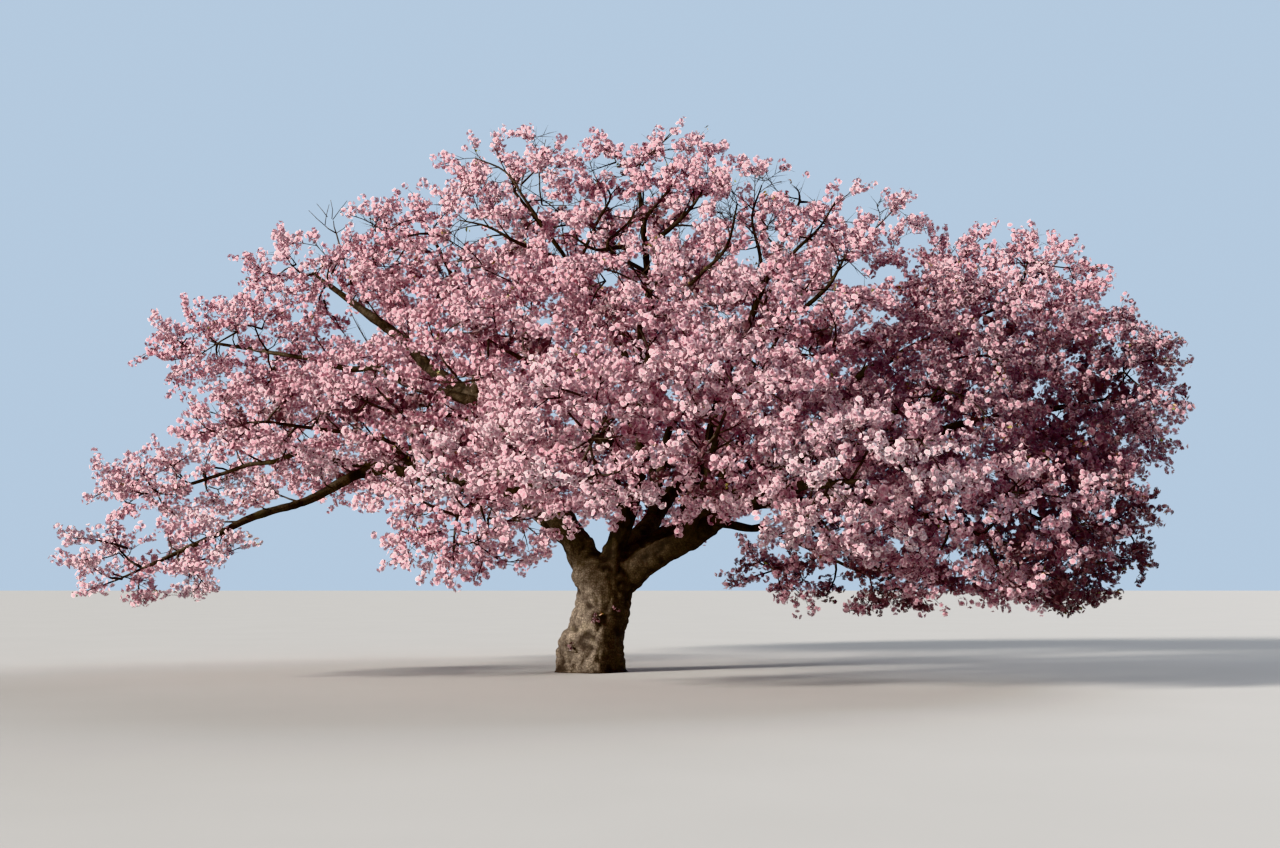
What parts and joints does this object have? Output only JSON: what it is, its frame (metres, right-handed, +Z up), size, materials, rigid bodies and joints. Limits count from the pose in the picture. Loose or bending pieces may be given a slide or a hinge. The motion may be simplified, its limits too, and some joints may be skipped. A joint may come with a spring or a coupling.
{
  "type": "cherry blossom tree",
  "caption": "Broad old cherry tree in full pink blossom, with a thick leaning trunk that forks low into spreading boughs and drooping masses of blossom.",
  "frame": {"origin": "middle of the flat cut under the trunk, at ground level", "axes": "+Z straight up, +X to the side the trunk leans to, -Y to the front of the tree as pictured"},
  "size_m": [19.0048, 15.4485, 9.7042],
  "materials": {
    "bark": "rough",
    "mossy_bark": "rough",
    "pale_blossom": "matte",
    "pink_blossom": "matte",
    "mauve_blossom": "matte"
  },
  "bodies": {
    "root": {"trunk": "bark", "bough_left_high": "bark", "bough_front_right_low": "bark", "bough_right_outer": "bark", "bough_top": "bark", "bough_rear_left": "bark", "bough_rear_right": "bark", "bough_left_tip_low": "mossy_bark", "bough_front_left_low": "mossy_bark", "bough_left_front": "mossy_bark", "bough_left_wing": "mossy_bark", "bough_upper_left": "mossy_bark", "bough_left_tip_upper": "mossy_bark", "bough_left_wing_low": "mossy_bark", "bough_top_left": "mossy_bark", "bough_centre": "mossy_bark", "bough_centre_left": "mossy_bark", "bough_front_centre": "mossy_bark", "bough_rear_top": "mossy_bark", "bough_front_centre_right": "mossy_bark", "bough_front_right_outer": "mossy_bark", "bough_right_under": "mossy_bark", "bough_top_right": "mossy_bark", "bough_centre_right": "mossy_bark", "bough_right_front": "mossy_bark", "bough_right_top": "mossy_bark", "bough_right_low": "mossy_bark", "bough_rear_centre_left": "mossy_bark", "bough_rear_centre": "mossy_bark", "bough_rear_top_right": "mossy_bark", "blossom_left_high": "pink_blossom", "blossom_front_right_low": "pale_blossom", "blossom_right_outer": "mauve_blossom", "blossom_top": "pink_blossom", "blossom_rear_left": "pink_blossom", "blossom_rear_right": "mauve_blossom", "blossom_left_tip_low": "pale_blossom", "blossom_front_left_low": "pale_blossom", "blossom_left_front": "pink_blossom", "blossom_left_wing": "pink_blossom", "blossom_upper_left": "pink_blossom", "blossom_left_tip_upper": "pale_blossom", "blossom_left_wing_low": "pink_blossom", "blossom_top_left": "pink_blossom", "blossom_centre": "pink_blossom", "blossom_centre_left": "pink_blossom", "blossom_front_centre": "pale_blossom", "blossom_rear_top": "pink_blossom", "blossom_front_centre_right": "pink_blossom", "blossom_front_right_outer": "pink_blossom", "blossom_right_under": "mauve_blossom", "blossom_top_right": "pink_blossom", "blossom_centre_right": "pink_blossom", "blossom_right_front": "mauve_blossom", "blossom_right_top": "mauve_blossom", "blossom_right_low": "mauve_blossom", "blossom_rear_centre_left": "pink_blossom", "blossom_rear_centre": "pink_blossom", "blossom_rear_top_right": "pink_blossom"}
  },
  "joints": []
}
